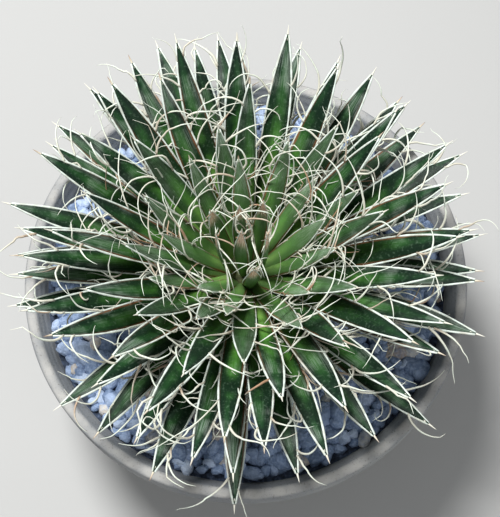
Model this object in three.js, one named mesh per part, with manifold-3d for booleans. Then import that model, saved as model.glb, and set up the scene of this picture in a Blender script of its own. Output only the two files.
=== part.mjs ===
// A thread agave (Agave multifilifera) in a plain pot: pot, potting soil, gravel top dressing and
// the rosette, which is one grown body of stem, leaves, end spines and the threads off their edges.
// Millimetres, +Z up. The origin is the centre of the pot's flat base.

import * as THREE from "three";
import { mergeVertices } from "three/addons/utils/BufferGeometryUtils.js";
import Module from "manifold-3d";

const wasm = await Module();
wasm.setup();

// Pot
const POT_HEIGHT = 170;
const RIM_RADIUS = 186;
const BAND_HEIGHT = 30;
const BAND_STEP = 6;
const BAND_LIP = { inset: 1, rise: 2 };
const BASE_RADIUS = 134;
const WALL = 9;
const FLOOR = 12;
const EDGE_ROUND = 3;
const INNER_EDGE_ROUND = 2;
const DRAIN_HOLES = 3;
const DRAIN_RADIUS = 8;
const DRAIN_CIRCLE = 65;
const DRAIN_SIDES = 12;
const ROUND_SIDES = 48;

// Fill
const FIT_GAP = 0.3;
const SOIL_TOP = 142;
const GRAVEL_BED = 8;
const STONE_COUNT = 136;
const STONE_SIZE = 11.5;
const STONE_SIZE_STRAY = 0.14;
const STONE_CORNER_STRAY = 0.16;
const STONE_WIDTH_SHARE = 0.82;
const STONE_HEIGHT_SHARE = 0.66;
const STONE_TILT = 0.35;
const STONE_FIRST_RING = 34.5;
const STONE_LAST_RING = 161;
const STONE_SINKS_IN = 0.75 * GRAVEL_BED;

// Rosette
const LEAF_COUNT = 104;
const BUD_LEAVES = 8;
const YOUNG_LEAVES = 24;
const LEAF_LENGTH = 190;
const LEAF_HALF_WIDTH = 9.4;
const LEAF_START = 14;
const GOLDEN_ANGLE = Math.PI * (3 - Math.sqrt(5));
const FIRST_AZIMUTH = THREE.MathUtils.degToRad(26);
const LOWEST_RISE = THREE.MathUtils.degToRad(18);
const OLDEST_SAG = { angle: THREE.MathUtils.degToRad(13), from: 0.94 };
const INNER_POLAR = THREE.MathUtils.degToRad(25);
const CENTRE_HEIGHT = 170;
const CROWN_RISE = 18;
const CROWN_DROP = 4;
const CORE_RADIUS = 25;
const CORE_HEIGHT = 27;
const STEM_RADIUS = 20;
const STEM_FOOT = 100;
const STEM_SIDES = 24;
const SPINE_START = 0.95;
const WIDEST_AT = 0.52;
const FOOT_WIDTH = 0.8;
const TIP_WIDTH = 0.12;
const UPPER_RISE = { foot: 2.4, tip: 0.7 };
const LOWER_DROP = { foot: 7, tip: 0.8 };

// How far one leaf may differ from the rule: angles in radians, the rest as shares
const STRAY = { azimuth: 0.1, lean: 0.09, length: 0.04, width: 0.07, arch: 0.12, sway: 0.16, roll: 0.22 };

// Threads off the leaf edges: where along the leaf, how far they fork from it and how far they curl
const THREADS_PER_LEAF = 2;
const THREAD_STEPS = 4;
const THREAD_SIDES = 3;
const THREAD_RADIUS = 0.95;
const THREAD_TIP_SHARE = 0.55;
const THREAD_LENGTH = 42;
const THREAD_LENGTH_STRAY = 0.25;
const THREAD_PLACE = { middle: 0.66, stray: 0.22 };
const THREAD_FORK = { middle: 0.55, stray: 0.25 };
const THREAD_TURN = { middle: 1.8, stray: 1 };
const THREAD_LIFT = 0.2;
const THREAD_AXIS_STRAY = { across: 0.8, along: 0.5 };
const THREAD_CURLS_BACK_BELOW = -0.4;
const THREAD_ROOT_DEPTH = 1.1;
const THREAD_FLOOR = POT_HEIGHT + 4;

// A repeatable draw from -1 to 1 for a numbered leaf, stone or thread.
function draw(number, channel) {
  const x = Math.sin(number * 12.9898 + channel * 78.233) * 43758.5453;
  return 2 * (x - Math.floor(x)) - 1;
}

const blend = (from, to, share) => from + (to - from) * share;
const smooth = (x) => THREE.MathUtils.smoothstep(x, 0, 1);
const strayed = ({ middle, stray }, number, channel) => middle + stray * draw(number, channel);

// Solids

// The geometry with its vertices merged wherever faces share a corner.
function welded(geometry) {
  const bare = geometry.clone();
  bare.deleteAttribute("normal");
  bare.deleteAttribute("uv");
  return mergeVertices(bare, 1e-4);
}

function solid(geometry) {
  const merged = welded(geometry);
  const corners = merged.index.array;
  const kept = [];
  for (let i = 0; i < corners.length; i += 3) {
    const [a, b, c] = corners.slice(i, i + 3);
    if (a !== b && b !== c && c !== a) kept.push(a, b, c);
  }
  return new wasm.Manifold(
    new wasm.Mesh({
      numProp: 3,
      vertProperties: merged.attributes.position.array,
      triVerts: new Uint32Array(kept),
    }),
  );
}

// The largest body of a fused solid, without loose scraps and with sealed hollows filled.
function mainBody(fused) {
  return fused.decompose().sort((a, b) => b.volume() - a.volume())[0];
}

// Joins many solids pair by pair, which keeps each join small.
function join(solids) {
  let round = solids;
  while (round.length > 1) {
    const next = [];
    for (let i = 0; i < round.length; i += 2)
      next.push(i + 1 < round.length ? round[i].add(round[i + 1]) : round[i]);
    round = next;
  }
  return round[0];
}

function piece(name, body, colour, roughness) {
  const { numProp, vertProperties, triVerts } = body.getMesh();
  const places = new Float32Array((vertProperties.length / numProp) * 3);
  for (let i = 0; i < places.length / 3; i++)
    places.set(vertProperties.subarray(i * numProp, i * numProp + 3), i * 3);
  const geometry = new THREE.BufferGeometry();
  geometry.setAttribute("position", new THREE.BufferAttribute(places, 3));
  geometry.setIndex(new THREE.BufferAttribute(new Uint32Array(triVerts), 1));
  geometry.computeVertexNormals();
  const material = new THREE.MeshStandardMaterial({ color: colour, roughness, metalness: 0 });
  const mesh = new THREE.Mesh(geometry, material);
  mesh.name = name;
  return mesh;
}

// A body turned about +Z, from [radius, height] pairs that start and end on the axis.
function turned(profile, sides) {
  const points = profile.map(([radius, height]) => new THREE.Vector2(radius, height));
  return solid(new THREE.LatheGeometry(points, sides).rotateX(Math.PI / 2));
}

// A closed body through rings of points that all have the same count, ending in one tip point.
function lofted(rings, tip) {
  const sides = rings[0].length;
  const points = [...rings.flat(), tip];
  const last = (rings.length - 1) * sides;
  const faces = [];
  for (let side = 1; side + 1 < sides; side++) faces.push(0, side + 1, side);
  for (let ring = 0; ring < last; ring += sides)
    for (let side = 0; side < sides; side++) {
      const next = (side + 1) % sides;
      faces.push(ring + side, ring + next, ring + sides + next);
      faces.push(ring + side, ring + sides + next, ring + sides + side);
    }
  for (let side = 0; side < sides; side++)
    faces.push(last + side, last + ((side + 1) % sides), points.length - 1);
  const geometry = new THREE.BufferGeometry().setFromPoints(points);
  geometry.setIndex(faces);
  return solid(geometry);
}

// Pot

const innerRadiusAt = (height) =>
  blend(BASE_RADIUS - WALL, RIM_RADIUS - WALL, (height - FLOOR) / (POT_HEIGHT - FLOOR));

function potBody() {
  const bandFoot = POT_HEIGHT - BAND_HEIGHT;
  const wallTop = RIM_RADIUS - BAND_STEP;
  const inside = RIM_RADIUS - WALL;
  const shell = turned(
    [
      [0, 0],
      [BASE_RADIUS - EDGE_ROUND, 0],
      [BASE_RADIUS, EDGE_ROUND],
      [wallTop, bandFoot],
      [RIM_RADIUS - BAND_LIP.inset, bandFoot + BAND_LIP.rise],
      [RIM_RADIUS, bandFoot + BAND_LIP.rise + EDGE_ROUND],
      [RIM_RADIUS, POT_HEIGHT - EDGE_ROUND],
      [RIM_RADIUS - EDGE_ROUND, POT_HEIGHT],
      [inside + INNER_EDGE_ROUND, POT_HEIGHT],
      [inside, POT_HEIGHT - INNER_EDGE_ROUND],
      [BASE_RADIUS - WALL, FLOOR],
      [0, FLOOR],
    ],
    ROUND_SIDES,
  );
  let pot = shell;
  for (let hole = 0; hole < DRAIN_HOLES; hole++) {
    const angle = (hole / DRAIN_HOLES) * 2 * Math.PI;
    const drill = new THREE.CylinderGeometry(DRAIN_RADIUS, DRAIN_RADIUS, 4 * FLOOR, DRAIN_SIDES);
    drill.rotateX(Math.PI / 2);
    drill.translate(DRAIN_CIRCLE * Math.cos(angle), DRAIN_CIRCLE * Math.sin(angle), 0);
    pot = pot.subtract(solid(drill));
  }
  return pot;
}

// Soil, with the plain hole that the stem stands in

function soilBody() {
  const hole = STEM_RADIUS + FIT_GAP;
  const foot = FLOOR + FIT_GAP;
  return turned(
    [
      [0, foot],
      [innerRadiusAt(foot) - FIT_GAP, foot],
      [innerRadiusAt(SOIL_TOP) - FIT_GAP, SOIL_TOP],
      [hole, SOIL_TOP],
      [hole, STEM_FOOT - FIT_GAP],
      [0, STEM_FOOT - FIT_GAP],
    ],
    ROUND_SIDES,
  );
}

// Gravel: a bed of small stuff, and larger stones half sunk in it on a sunflower spiral

function stone(number, bedTop) {
  const share = (number + 0.5) / STONE_COUNT;
  const radius = Math.sqrt(blend(STONE_FIRST_RING ** 2, STONE_LAST_RING ** 2, share));
  const angle = number * GOLDEN_ANGLE;
  const rock = welded(new THREE.IcosahedronGeometry(1, 0));
  const corners = rock.attributes.position;
  for (let i = 0; i < corners.count; i++) {
    const swell = 1 + STONE_CORNER_STRAY * draw(number * corners.count + i, 1);
    corners.setXYZ(i, corners.getX(i) * swell, corners.getY(i) * swell, corners.getZ(i) * swell);
  }
  const size = STONE_SIZE * (1 + STONE_SIZE_STRAY * draw(number, 2));
  rock.scale(size, size * STONE_WIDTH_SHARE, size * STONE_HEIGHT_SHARE);
  rock.rotateX(STONE_TILT * draw(number, 3));
  rock.rotateZ(Math.PI * draw(number, 4));
  rock.translate(radius * Math.cos(angle), radius * Math.sin(angle), bedTop);
  const deepest = bedTop - STONE_SINKS_IN;
  for (let i = 0; i < corners.count; i++) corners.setZ(i, Math.max(corners.getZ(i), deepest));
  return solid(rock);
}

function gravelBody() {
  const hole = STEM_RADIUS + FIT_GAP;
  const low = SOIL_TOP + FIT_GAP;
  const high = low + GRAVEL_BED;
  const bed = turned(
    [
      [hole, low],
      [innerRadiusAt(low) - FIT_GAP, low],
      [innerRadiusAt(high) - FIT_GAP, high],
      [hole, high],
      [hole, low],
    ],
    ROUND_SIDES,
  );
  const stones = Array.from({ length: STONE_COUNT }, (_, number) => stone(number, high));
  return mainBody(join([bed, ...stones]));
}

// Rosette

// The bud's leaves stand upright and close, and number 0 is the youngest, in its middle.
function budShape(share) {
  return {
    lean: blend(0, 0.24, share),
    length: blend(0.62, 0.46, share),
    width: blend(0.6, 0.8, share),
    arch: -0.3,
    start: blend(1, LEAF_START, share),
    fullness: 1.6,
  };
}

// The open leaves lean further out the older they are, curved in at first and drooping at last,
// and the few oldest sag towards the rim.
function openShape(number, outward) {
  const polar = Math.acos(blend(Math.cos(INNER_POLAR), Math.sin(LOWEST_RISE), outward));
  const sag = OLDEST_SAG.angle * smooth((outward - OLDEST_SAG.from) / (1 - OLDEST_SAG.from));
  return {
    lean: polar + sag + STRAY.lean * draw(number, 6) * (1 - outward),
    length: blend(0.54, 1, smooth(outward / 0.4)),
    width: blend(0.8, 1, smooth(outward / 0.35)),
    arch: blend(-0.24, 0.3, outward) + STRAY.arch * draw(number, 9),
    start: LEAF_START,
    fullness: blend(1.6, 2.5, smooth(outward / 0.5)),
  };
}

function leafPlan(number) {
  const inBud = number < BUD_LEAVES;
  const outward = inBud ? 0 : (number - BUD_LEAVES) / (LEAF_COUNT - 1 - BUD_LEAVES);
  const shape = inBud ? budShape(number / (BUD_LEAVES - 1)) : openShape(number, outward);
  const loose = inBud ? 0 : 1;
  return {
    ...shape,
    azimuth: FIRST_AZIMUTH - GOLDEN_ANGLE * number + STRAY.azimuth * draw(number, 5) * loose,
    rise: Math.PI / 2 - shape.lean,
    startHeight: CENTRE_HEIGHT + blend(CROWN_RISE, -CROWN_DROP, outward),
    length: LEAF_LENGTH * shape.length * (1 + STRAY.length * draw(number, 7)),
    halfWidth: LEAF_HALF_WIDTH * shape.width * (1 + STRAY.width * draw(number, 8)),
    sway: STRAY.sway * draw(number, 10) * loose,
    roll: STRAY.roll * draw(number, 11) * loose,
  };
}

// Half width of a leaf at t, from 0 in the stem to 1 at the tip of the end spine, as a share.
function widthShare(t, fullness) {
  if (t > SPINE_START) return (TIP_WIDTH * (1 - t)) / (1 - SPINE_START);
  if (t <= WIDEST_AT) return blend(FOOT_WIDTH, 1, smooth(t / WIDEST_AT));
  return 1 - (1 - TIP_WIDTH) * ((t - WIDEST_AT) / (SPINE_START - WIDEST_AT)) ** fullness;
}

const upperRise = (t) => blend(UPPER_RISE.foot, UPPER_RISE.tip, t);
const lowerDrop = (t) => blend(LOWER_DROP.foot, LOWER_DROP.tip, Math.min(1, t / SPINE_START) ** 0.7);

// The leaf's middle line and its own directions at t: along, sideways and up out of the face.
function leafFrame(plan, t) {
  const out = new THREE.Vector3(Math.cos(plan.azimuth), Math.sin(plan.azimuth), 0);
  const side = new THREE.Vector3(-Math.sin(plan.azimuth), Math.cos(plan.azimuth), 0);
  const ahead = out.clone().multiplyScalar(Math.cos(plan.rise)).setZ(Math.sin(plan.rise));
  const up = ahead.clone().cross(side);
  const bow = t * (1 - t) * plan.length * 0.5;
  const place = out.clone().multiplyScalar(plan.start).setZ(plan.startHeight);
  place.addScaledVector(ahead, t * plan.length);
  place.addScaledVector(up, bow * plan.arch);
  place.addScaledVector(side, bow * plan.sway);
  const slope = (1 - 2 * t) * 0.5;
  const along = ahead.addScaledVector(up, slope * plan.arch);
  along.addScaledVector(side, slope * plan.sway).normalize();
  const across = side.applyAxisAngle(along, plan.roll);
  across.addScaledVector(along, -across.dot(along)).normalize();
  return { place, along, across, face: along.clone().cross(across) };
}

const OLD_LEAF_RINGS = [0, 0.27, 0.53, 0.73, 0.87, SPINE_START];
const YOUNG_LEAF_RINGS = [0, 0.5, 0.78, SPINE_START];

function leaf(plan, stops) {
  const rings = stops.map((t) => {
    const { place, across, face } = leafFrame(plan, t);
    const half = plan.halfWidth * widthShare(t, plan.fullness);
    return [
      place.clone().addScaledVector(across, half),
      place.clone().addScaledVector(face, upperRise(t)),
      place.clone().addScaledVector(across, -half),
      place.clone().addScaledVector(face, -lowerDrop(t)),
    ];
  });
  return lofted(rings, leafFrame(plan, 1).place);
}

// A thread that has peeled off a leaf's edge at t and curls away from it.
function thread(plan, number) {
  const edge = number % 2 ? 1 : -1;
  const t = strayed(THREAD_PLACE, number, 18);
  const { place, along, across, face } = leafFrame(plan, t);
  const half = plan.halfWidth * widthShare(t, plan.fullness);
  const root = place.addScaledVector(across, edge * (half - THREAD_ROOT_DEPTH));
  const fork = strayed(THREAD_FORK, number, 12);
  const heading = along.clone().multiplyScalar(Math.cos(fork));
  heading.addScaledVector(across, edge * Math.sin(fork)).addScaledVector(face, THREAD_LIFT).normalize();
  const curl = draw(number, 13) > THREAD_CURLS_BACK_BELOW ? edge : -edge;
  const axis = face.clone().multiplyScalar(curl);
  axis.addScaledVector(across, THREAD_AXIS_STRAY.across * draw(number, 14));
  axis.addScaledVector(along, THREAD_AXIS_STRAY.along * draw(number, 15));
  axis.addScaledVector(heading, -axis.dot(heading)).normalize();
  const turn = strayed(THREAD_TURN, number, 16);
  const step = (THREAD_LENGTH * (1 + THREAD_LENGTH_STRAY * draw(number, 17))) / THREAD_STEPS;
  const path = [root];
  for (let i = 0; i < THREAD_STEPS; i++) {
    const next = path[i].clone().addScaledVector(heading, step);
    if (next.z < THREAD_FLOOR) next.z = THREAD_FLOOR;
    path.push(next);
    heading.applyAxisAngle(axis, turn / THREAD_STEPS);
  }
  const tip = path.pop();
  const rings = path.map((point, i) => {
    const ahead = (path[i + 1] ?? tip).clone().sub(point).normalize();
    const wide = ahead.clone().cross(axis).normalize();
    const radius = THREAD_RADIUS * blend(1, THREAD_TIP_SHARE, i / (THREAD_STEPS - 1));
    return Array.from({ length: THREAD_SIDES }, (_, corner) => {
      const angle = (corner / THREAD_SIDES) * 2 * Math.PI;
      const spread = point.clone().addScaledVector(wide, radius * Math.cos(angle));
      return spread.addScaledVector(axis, radius * Math.sin(angle));
    });
  });
  return lofted(rings, tip);
}

function stemBody() {
  const dome = [0, 0.25, 0.5, 0.75, 1].map((share) => {
    const angle = share * Math.PI * 0.5;
    return [CORE_RADIUS * Math.cos(angle), CENTRE_HEIGHT + CORE_HEIGHT * Math.sin(angle)];
  });
  dome[dome.length - 1][0] = 0;
  return turned(
    [
      [0, STEM_FOOT],
      [STEM_RADIUS, STEM_FOOT],
      [STEM_RADIUS, CENTRE_HEIGHT - CORE_RADIUS * 0.35],
      ...dome,
    ],
    STEM_SIDES,
  );
}

function rosetteBody() {
  const grown = [stemBody()];
  for (let number = 0; number < LEAF_COUNT; number++) {
    const plan = leafPlan(number);
    grown.push(leaf(plan, number < YOUNG_LEAVES ? YOUNG_LEAF_RINGS : OLD_LEAF_RINGS));
    if (number < BUD_LEAVES) continue;
    for (let i = 0; i < THREADS_PER_LEAF; i++)
      grown.push(thread(plan, number * THREADS_PER_LEAF + i));
  }
  return mainBody(join(grown));
}

const pottedAgave = new THREE.Group();
pottedAgave.name = "potted_agave";
pottedAgave.add(
  piece("pot", potBody(), "#8b8f93", 0.8),
  piece("potting_soil", soilBody(), "#3a2f26", 0.95),
  piece("gravel_top_dressing", gravelBody(), "#8095ad", 0.85),
  piece("agave_rosette", rosetteBody(), "#2f5a2c", 0.45),
);

export default pottedAgave;
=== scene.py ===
# %% [markdown]
# A thread agave in a plain pot, dressed for a close look from above.
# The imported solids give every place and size, so this lesson only makes the fine surfaces:
# first the camera, then the rosette, the gravel, the soil, the pot, and the light.

# %% The frame of solids
import math

import bmesh
import bpy
import numpy as np
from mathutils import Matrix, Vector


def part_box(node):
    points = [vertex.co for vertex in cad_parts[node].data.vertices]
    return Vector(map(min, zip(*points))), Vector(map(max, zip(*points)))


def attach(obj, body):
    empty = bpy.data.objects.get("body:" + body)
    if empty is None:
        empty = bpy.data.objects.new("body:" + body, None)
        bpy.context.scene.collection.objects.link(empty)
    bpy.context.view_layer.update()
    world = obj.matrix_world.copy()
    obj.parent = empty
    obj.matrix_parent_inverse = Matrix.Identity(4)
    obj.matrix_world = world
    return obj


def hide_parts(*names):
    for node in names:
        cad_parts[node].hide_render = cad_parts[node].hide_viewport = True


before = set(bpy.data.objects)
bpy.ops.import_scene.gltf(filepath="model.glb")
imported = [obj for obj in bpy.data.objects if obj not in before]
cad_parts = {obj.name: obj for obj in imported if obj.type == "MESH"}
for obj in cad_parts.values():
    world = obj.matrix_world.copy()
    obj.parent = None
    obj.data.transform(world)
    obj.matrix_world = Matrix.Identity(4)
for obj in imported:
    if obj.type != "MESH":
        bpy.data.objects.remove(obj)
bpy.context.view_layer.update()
rosette_low, rosette_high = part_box("agave_rosette")
print("rosette from", [round(v, 3) for v in rosette_low], "to", [round(v, 3) for v in rosette_high])

# %% [markdown]
# The camera stands almost over the plant and leans a little towards its front.
# A long lens from far away would flatten the leaves, so the camera comes close,
# five leaf lengths from the crown, and the leaves that point at it look bigger.
# The lens follows from what one pixel of the picture covers at the crown.

# %% The camera
CROWN = np.array([0.0, 0.0, 0.170])
CAMERA_RISE = math.radians(71)
CAMERA_AWAY = 0.95
NEAREST_SEEN = 0.02
AIM_UP = 0.014
AIM_RIGHT = 0.0034
SENSOR_WIDTH = 36
MM_PER_PIXEL = 0.84
PICTURE_LONG_SIDE = 517

toward_camera = np.array([0.0, -math.cos(CAMERA_RISE), math.sin(CAMERA_RISE)])
screen_up = np.array([0.0, math.sin(CAMERA_RISE), math.cos(CAMERA_RISE)])
camera_data = bpy.data.cameras.new("photo_camera")
camera_data.sensor_width = SENSOR_WIDTH
camera_data.lens = SENSOR_WIDTH * CAMERA_AWAY / (PICTURE_LONG_SIDE * MM_PER_PIXEL / 1000)
camera_data.clip_start = NEAREST_SEEN
camera = bpy.data.objects.new("photo_camera", camera_data)
aim = CROWN + screen_up * AIM_UP + np.array([AIM_RIGHT, 0, 0])
camera.location = aim + toward_camera * CAMERA_AWAY
camera.rotation_euler = (math.pi / 2 - CAMERA_RISE, 0, 0)
bpy.context.scene.collection.objects.link(camera)
bpy.context.scene.camera = camera
print("lens", round(camera_data.lens, 1), "mm")

# %% [markdown]
# Every leaf, stone and thread is a copy of one form with small differences.
# A random generator would do, but a numbered draw gives leaf 40 the same bend
# wherever it is asked for, so blade, edges, spine and threads all find the same leaf.
# What is drawn has a channel of its own, so a leaf that leans more isn't longer too.

# %% Draws and blends
GOLDEN_ANGLE = math.pi * (3 - math.sqrt(5))
NUMBER_STEP = 12.9898
CHANNEL_STEP = 78.233
SCRAMBLE = 43758.5453
CHANNELS = {
    "azimuth": 5, "lean": 6, "leaf_length": 7, "leaf_width": 8, "arch": 9, "sway": 10, "roll": 11,
    "fork": 12, "curls_back": 13, "axis_across": 14, "axis_along": 15, "turn": 16, "length": 17,
    "place": 18, "leaf_lot": 20, "fray": 21, "edge_lot": 22, "spine_lot": 23, "which_edge": 24,
    "girth": 25, "tan": 26, "lateness": 27, "kink": 28, "twist": 29, "dryness": 30, "facet_x": 31,
    "facet_y": 32, "facet_z": 33, "facet_reach": 34, "stone_tilt": 35, "stone_turn": 36,
    "stone_lot": 37, "swerve": 38, "ceiling": 39, "wander_x": 41, "wander_y": 42, "stone_size": 43,
    "stone_height": 44,
}


def draw(number, what):
    """A repeatable value from -1 to 1, for one number or an array of them."""
    x = np.sin(number * NUMBER_STEP + CHANNELS[what] * CHANNEL_STEP) * SCRAMBLE
    return 2 * (x - np.floor(x)) - 1


def share_drawn(number, what):
    """The same draw as a share from 0 to 1."""
    return 0.5 + 0.5 * draw(number, what)


def blend(start, end, share):
    """From start at 0 to end at 1."""
    return start + (end - start) * share


def smooth(x):
    """A soft step from 0 at 0 to 1 at 1."""
    x = np.clip(x, 0, 1)
    return x * x * (3 - 2 * x)


print("golden angle", round(math.degrees(GOLDEN_ANGLE), 1), "degrees,", len(CHANNELS), "channels")

# %% [markdown]
# The leaves of a rosette leave the stem one golden angle apart, so none hides another.
# The youngest stand upright in the bud and each older one leans further out,
# until the oldest lie nearly flat. Placing a hundred leaves by hand would never match
# the solid, so one rule with the solid's own sizes places them all.

# %% Where each leaf grows
MM = 0.001
LEAF_COUNT = 104
BUD_LEAVES = 8
LEAF_LENGTH = 0.190
LEAF_HALF_WIDTH = 0.0094
FIRST_AZIMUTH = math.radians(26)
LOWEST_RISE = math.radians(18)
OLDEST_SAG = math.radians(13)
SAG_FROM = 0.94
INNER_POLAR = math.radians(25)
FOOT_ABOVE_CROWN = (0.018, -0.004)
FOOT_RADIUS_MM = (1, 14)

# In the bud: from its first leaf to its last
BUD_LEAN = (0.0, 0.24)
BUD_LENGTH = (0.62, 0.46)
BUD_WIDTH = (0.6, 0.8)
BUD_ARCH = -0.3

# Outside it: from the youngest leaf to a full-grown one, and how far out that is reached
LENGTH, LENGTH_FULL_AT = (0.54, 1), 0.4
WIDTH, WIDTH_FULL_AT = (0.8, 1), 0.35
FULLNESS, FULLNESS_FULL_AT = (1.6, 2.5), 0.5
ARCH = (-0.24, 0.3)
STRAYS = {
    "azimuth": 0.1, "lean": 0.09, "leaf_length": 0.04, "leaf_width": 0.07, "arch": 0.12, "sway": 0.16,
    "roll": 0.22,
}


def leaf_plan(number):
    """Where leaf number grows and how it is bent, from the middle of the bud outward."""
    young = number < BUD_LEAVES
    outward = 0 if young else (number - BUD_LEAVES) / (LEAF_COUNT - 1 - BUD_LEAVES)
    bud_share = number / (BUD_LEAVES - 1)
    stray = {what: most * draw(number, what) for what, most in STRAYS.items()}
    if young:
        lean, arch = blend(*BUD_LEAN, bud_share), BUD_ARCH
        length, width = blend(*BUD_LENGTH, bud_share), blend(*BUD_WIDTH, bud_share)
    else:
        polar = math.acos(blend(math.cos(INNER_POLAR), math.sin(LOWEST_RISE), outward))
        sag = OLDEST_SAG * smooth((outward - SAG_FROM) / (1 - SAG_FROM))
        lean = polar + sag + stray["lean"] * (1 - outward)
        arch = blend(*ARCH, outward) + stray["arch"]
        length = blend(*LENGTH, smooth(outward / LENGTH_FULL_AT))
        width = blend(*WIDTH, smooth(outward / WIDTH_FULL_AT))
    return {
        "number": number,
        "outward": outward,
        "young": young,
        "azimuth": FIRST_AZIMUTH - GOLDEN_ANGLE * number + stray["azimuth"] * (not young),
        "rise": math.pi / 2 - lean,
        "foot_radius": MM * (blend(*FOOT_RADIUS_MM, bud_share) if young else FOOT_RADIUS_MM[1]),
        "foot_height": CROWN[2] + blend(*FOOT_ABOVE_CROWN, outward),
        "length": LEAF_LENGTH * length * (1 + stray["leaf_length"]),
        "fullness": blend(*FULLNESS, smooth(outward / FULLNESS_FULL_AT)),
        "half_width": LEAF_HALF_WIDTH * width * (1 + stray["leaf_width"]),
        "arch": arch,
        "sway": stray["sway"] * (not young),
        "roll": stray["roll"] * (not young),
    }


leaves = [leaf_plan(number) for number in range(LEAF_COUNT)]
print(LEAF_COUNT, "leaves, the longest", round(max(plan["length"] for plan in leaves) / MM), "mm")

# %% [markdown]
# One leaf is a shallow arch in two directions. Along its middle line three directions
# travel with it: along the leaf, across it, and up out of its face.
# Everything that grows on the leaf is placed with these three, so nothing comes loose.

# %% The middle line of a leaf
SPINE_START = 0.95
WIDEST_AT = 0.52
FOOT_WIDTH = 0.8
SPINE_WIDTH = 0.12
BOW = 0.5


def unit(v):
    return v / np.linalg.norm(v, axis=-1, keepdims=True)


def turned_about(v, axis, angle):
    """v turned about a unit axis; all three may be arrays."""
    c, s = np.cos(angle)[..., None], np.sin(angle)[..., None]
    return v * c + np.cross(axis, v) * s + axis * (v * axis).sum(-1, keepdims=True) * (1 - c)


def leaf_frame(plan, t):
    """Place, along, across and face at each t, from 0 in the stem to 1 at the spine's tip."""
    t = np.asarray(t, float)[:, None]
    azimuth = plan["azimuth"]
    out = np.array([math.cos(azimuth), math.sin(azimuth), 0])
    side = np.array([-math.sin(azimuth), math.cos(azimuth), 0])
    ahead = out * math.cos(plan["rise"]) + np.array([0, 0, math.sin(plan["rise"])])
    up = np.cross(ahead, side)
    bow = t * (1 - t) * plan["length"] * BOW
    place = out * plan["foot_radius"] + np.array([0, 0, plan["foot_height"]])
    place = place + ahead * t * plan["length"] + up * bow * plan["arch"] + side * bow * plan["sway"]
    slope = (1 - 2 * t) * BOW
    along = unit(ahead + up * slope * plan["arch"] + side * slope * plan["sway"])
    across = turned_about(side + 0 * along, along, np.full(len(t), plan["roll"]))
    across = unit(across - along * (across * along).sum(-1, keepdims=True))
    return place, along, across, np.cross(along, across)


def half_width(plan, t):
    """Half the width at t: a young leaf tapers evenly, and an old one keeps full."""
    t = np.asarray(t, float)
    blade = blend(FOOT_WIDTH, 1, smooth(t / WIDEST_AT))
    tipward = np.maximum(t - WIDEST_AT, 0) / (SPINE_START - WIDEST_AT)
    taper = 1 - (1 - SPINE_WIDTH) * tipward ** plan["fullness"]
    spine = SPINE_WIDTH * (1 - t) / (1 - SPINE_START)
    share = np.where(t > SPINE_START, spine, np.where(t > WIDEST_AT, taper, blade))
    return plan["half_width"] * share


widest = max(2 * float(half_width(plan, WIDEST_AT)) for plan in leaves)
print("the widest leaf is", round(widest / MM, 1), "mm across")

# %% [markdown]
# A finish is a small tree of shader nodes. Wiring each node by hand takes a page,
# so a helper adds a node, sets its sockets and wires what is already a socket,
# and short words for the usual sums keep each finish readable.

# %% Shader helpers
def tint(red, green, blue):
    """An sRGB colour from 0 to 255 as the linear colour that the shader takes."""
    share = np.array([red, green, blue]) / 255
    linear = np.where(share <= 0.04045, share / 12.92, ((share + 0.055) / 1.055) ** 2.4)
    return (*linear.tolist(), 1)


class Finish:
    """A material with one Principled shader and short calls for the nodes before it."""

    def __init__(self, name, roughness=0.5, **sockets):
        self.material = bpy.data.materials.new(name)
        self.material.use_nodes = True
        self.tree = self.material.node_tree
        self.shader = self.tree.nodes["Principled BSDF"]
        self.shader.inputs["Roughness"].default_value = roughness
        for socket, value in sockets.items():
            self.shader.inputs[socket.replace("_", " ")].default_value = value

    def put(self, socket, value):
        if hasattr(value, "links"):
            self.tree.links.new(value, socket)
        else:
            socket.default_value = value

    def node(self, kind, output=0, settings=(), **sockets):
        made = self.tree.nodes.new("ShaderNode" + kind)
        for key, value in dict(settings).items():
            setattr(made, key, value)
        for socket, value in sockets.items():
            self.put(made.inputs[socket.replace("_", " ")], value)
        return made.outputs[output]

    def value(self, name):
        """What give() or skin() left at each point."""
        return self.node("Attribute", "Fac", {"attribute_name": name})

    def sum_of(self, operation, *terms):
        made = self.tree.nodes.new("ShaderNodeMath")
        made.operation = operation
        for socket, term in zip(made.inputs, terms):
            self.put(socket, term)
        return made.outputs[0]

    def plus(self, first, second):
        return self.sum_of("ADD", first, second)

    def minus(self, first, second):
        return self.sum_of("SUBTRACT", first, second)

    def times(self, first, second):
        return self.sum_of("MULTIPLY", first, second)

    def size(self, value):
        return self.sum_of("ABSOLUTE", value)

    def noise(self, scale, detail=3, vector=None):
        vector = vector or self.node("TexCoord", "Object")
        return self.node("TexNoise", "Fac", Vector=vector, Scale=scale, Detail=detail)

    def between(self, value, low, high):
        """0 at low and 1 at high, whichever of the two is larger."""
        return self.node("MapRange", 0, Value=value, From_Min=low, From_Max=high)

    def mix(self, share, first, second):
        made = self.tree.nodes.new("ShaderNodeMix")
        made.data_type = "RGBA"
        for socket, value in ((0, share), (6, first), (7, second)):
            self.put(made.inputs[socket], value)
        return made.outputs[2]

    def ramp(self, value, *stops):
        made = self.tree.nodes.new("ShaderNodeValToRGB")
        elements = made.color_ramp.elements
        for element, (place, colour) in zip(elements, (stops[0], stops[-1])):
            element.position, element.color = place, colour
        for place, colour in stops[1:-1]:
            elements.new(place).color = colour
        self.put(made.inputs[0], value)
        return made.outputs[0]

    def colour(self, value):
        self.put(self.shader.inputs["Base Color"], value)

    def roughness(self, value):
        self.put(self.shader.inputs["Roughness"], value)

    def bump(self, height, depth, strength):
        made = self.node("Bump", 0, Height=height, Distance=depth, Strength=strength)
        self.put(self.shader.inputs["Normal"], made)


print("middle grey is", round(tint(128, 128, 128)[0], 3), "in linear light")

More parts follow.
